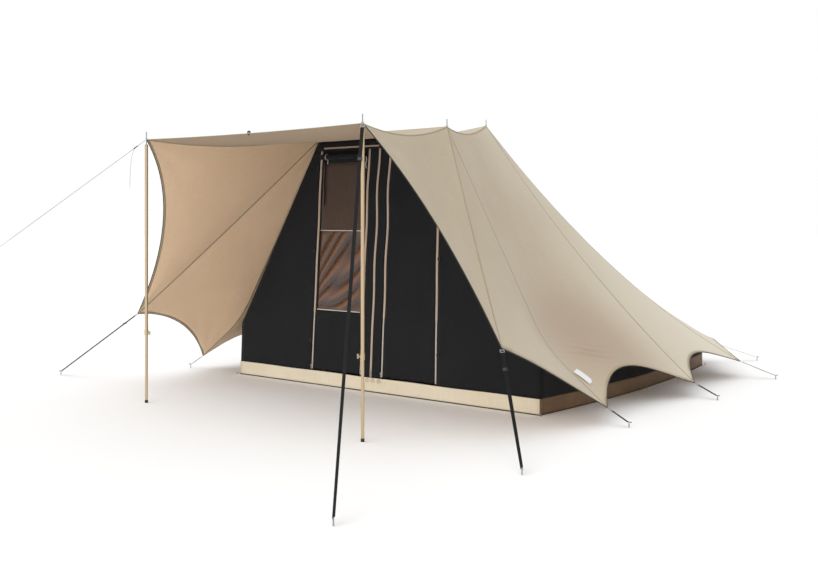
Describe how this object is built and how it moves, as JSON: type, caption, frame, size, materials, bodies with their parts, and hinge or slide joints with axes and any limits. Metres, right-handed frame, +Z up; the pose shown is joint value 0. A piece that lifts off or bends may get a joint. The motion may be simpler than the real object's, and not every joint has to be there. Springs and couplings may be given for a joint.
{
  "type": "frame tent",
  "caption": "Cotton frame tent: sand fly with a scalloped hem and an open canopy on telescopic poles, over a dark inner tent with two doors and a window.",
  "frame": {"origin": "on the ground, under the middle of the groundsheet", "axes": "+X to the right of someone who looks in at the doors, +Y from the front wall to the back, +Z up"},
  "size_m": [5.4225, 7.6585, 2.439],
  "materials": {
    "sand_canvas": "woven cotton canvas, matt",
    "black_canvas": "woven cotton, matt black",
    "beige_groundsheet": "PVC-coated cloth",
    "brown_mesh": "fine insect mesh",
    "clear_vinyl": "clear wrinkled film",
    "grey_tape": "woven tape",
    "gold_tube": "gold anodised, satin",
    "galvanised_steel": "galvanised",
    "brass": "rolled brass",
    "black_rubber": "moulded",
    "cream_zip": "woven zip tape with coil",
    "black_plastic": "moulded",
    "zip_metal": "cast, plated",
    "black_webbing": "woven webbing",
    "grey_cord": "braided"
  },
  "bodies": {
    "tent": {"groundsheet": "beige_groundsheet", "groundsheet_upstand": "beige_groundsheet", "inner_front_wall": "black_canvas", "inner_side_wall_right": "black_canvas", "inner_side_wall_left": "black_canvas", "inner_rear_wall": "black_canvas", "inner_roof_right": "black_canvas", "inner_roof_left": "black_canvas", "inner_roof_top": "black_canvas", "inner_roof_rear": "black_canvas", "fly_canopy": "sand_canvas", "fly_top": "sand_canvas", "fly_wing_right": "sand_canvas", "fly_wing_left": "sand_canvas", "fly_side_right": "sand_canvas", "fly_side_left": "sand_canvas", "fly_rear": "sand_canvas", "canopy_pole_right_upper": "gold_tube", "canopy_pole_left_upper": "gold_tube", "pole_clamps": "gold_tube", "pole_spikes": "galvanised_steel", "spike_eyelets": "brass", "upright_feet": "black_rubber", "upright_lower_tubes": "gold_tube", "upright_upper_tubes": "gold_tube", "spreader_bar": "gold_tube", "wall_zip_tapes": "cream_zip", "door_toggles": "black_plastic", "corner_rings": "galvanised_steel", "pegs": "galvanised_steel", "short_straps": "black_webbing", "canopy_strap_right": "black_webbing", "wing_strap_right": "black_webbing", "wing_strap_left": "black_webbing", "canopy_cord_left": "grey_cord", "canopy_lead_left": "black_webbing", "canopy_cord_tail": "black_webbing", "cord_tensioner": "black_plastic"},
    "right_pole_lower": {"canopy_pole_right_lower": "gold_tube", "canopy_pole_right_foot": "black_rubber"},
    "left_pole_lower": {"canopy_pole_left_lower": "gold_tube", "canopy_pole_left_foot": "black_rubber"},
    "right_wing_screw": {"wing_screw_right": "galvanised_steel"},
    "left_wing_screw": {"wing_screw_left": "galvanised_steel"},
    "left_door": {"left_door_panel": "black_canvas", "window_mesh": "brown_mesh", "window_vinyl": "clear_vinyl", "window_cover_roll": "black_canvas", "cover_ties": "grey_tape", "left_door_zip_tapes": "cream_zip"},
    "right_door": {"right_door_panel": "black_canvas", "right_door_zip_tapes": "cream_zip"},
    "slider_left_outer": {"zip_slider_left_outer": "zip_metal"},
    "slider_left_inner": {"zip_slider_left_inner": "zip_metal"},
    "slider_middle": {"zip_slider_middle": "zip_metal"},
    "slider_right_inner": {"zip_slider_right_inner": "zip_metal"},
    "slider_right_outer": {"zip_slider_right_outer": "zip_metal"},
    "buckle_canopy_right": {"strap_buckle_canopy_right": "black_plastic"},
    "buckle_wing_right": {"strap_buckle_wing_right": "black_plastic"},
    "buckle_wing_left": {"strap_buckle_wing_left": "black_plastic"}
  },
  "joints": [
    {"name": "right_pole_slide", "type": "slide", "parent": "tent", "child": "right_pole_lower", "axis": [0, 0, 1], "range_m": [0, 0.35]},
    {"name": "left_pole_slide", "type": "slide", "parent": "tent", "child": "left_pole_lower", "axis": [0, 0, 1], "range_m": [0, 0.35]},
    {"name": "right_wing_screw_turn", "type": "hinge", "parent": "tent", "child": "right_wing_screw", "pos_m": [1.1092, -3.061, 0.56], "axis": [-1, 0, 0], "range_deg": [0, 90]},
    {"name": "left_wing_screw_turn", "type": "hinge", "parent": "tent", "child": "left_wing_screw", "pos_m": [-1.1092, -3.061, 0.56], "axis": [1, 0, 0], "range_deg": [0, 90]},
    {"name": "left_door_swing", "type": "hinge", "parent": "tent", "child": "left_door", "pos_m": [0, -1.51501, 2.06625], "axis": [-1, 0, 0], "range_deg": [0, 80]},
    {"name": "right_door_swing", "type": "hinge", "parent": "tent", "child": "right_door", "pos_m": [0, -1.51501, 2.06625], "axis": [-1, 0, 0], "range_deg": [0, 80]},
    {"name": "left_outer_zip", "type": "slide", "parent": "tent", "child": "slider_left_outer", "axis": [0.0226, 0.0418, 0.9989], "range_m": [0, 1.8]},
    {"name": "left_inner_zip", "type": "slide", "parent": "tent", "child": "slider_left_inner", "axis": [0.018, 0.0418, 0.999], "range_m": [0, 1.8]},
    {"name": "middle_zip", "type": "slide", "parent": "tent", "child": "slider_middle", "axis": [0.0159, 0.0418, 0.999], "range_m": [0, 1.8]},
    {"name": "right_inner_zip", "type": "slide", "parent": "tent", "child": "slider_right_inner", "axis": [0.0139, 0.0418, 0.999], "range_m": [0, 1.8]},
    {"name": "right_outer_zip", "type": "slide", "parent": "tent", "child": "slider_right_outer", "axis": [-0.0129, 0.0418, 0.999], "range_m": [0, 1.8]},
    {"name": "canopy_right_buckle_slide", "type": "slide", "parent": "tent", "child": "buckle_canopy_right", "axis": [0.384, -0.5307, -0.7556], "range_m": [-0.15, 0.4]},
    {"name": "wing_right_buckle_slide", "type": "slide", "parent": "tent", "child": "buckle_wing_right", "axis": [0.5205, -0.5986, -0.6089], "range_m": [-0.08, 0.3]},
    {"name": "wing_left_buckle_slide", "type": "slide", "parent": "tent", "child": "buckle_wing_left", "axis": [-0.8578, -0.0947, -0.5053], "range_m": [-0.08, 0.4]}
  ]
}
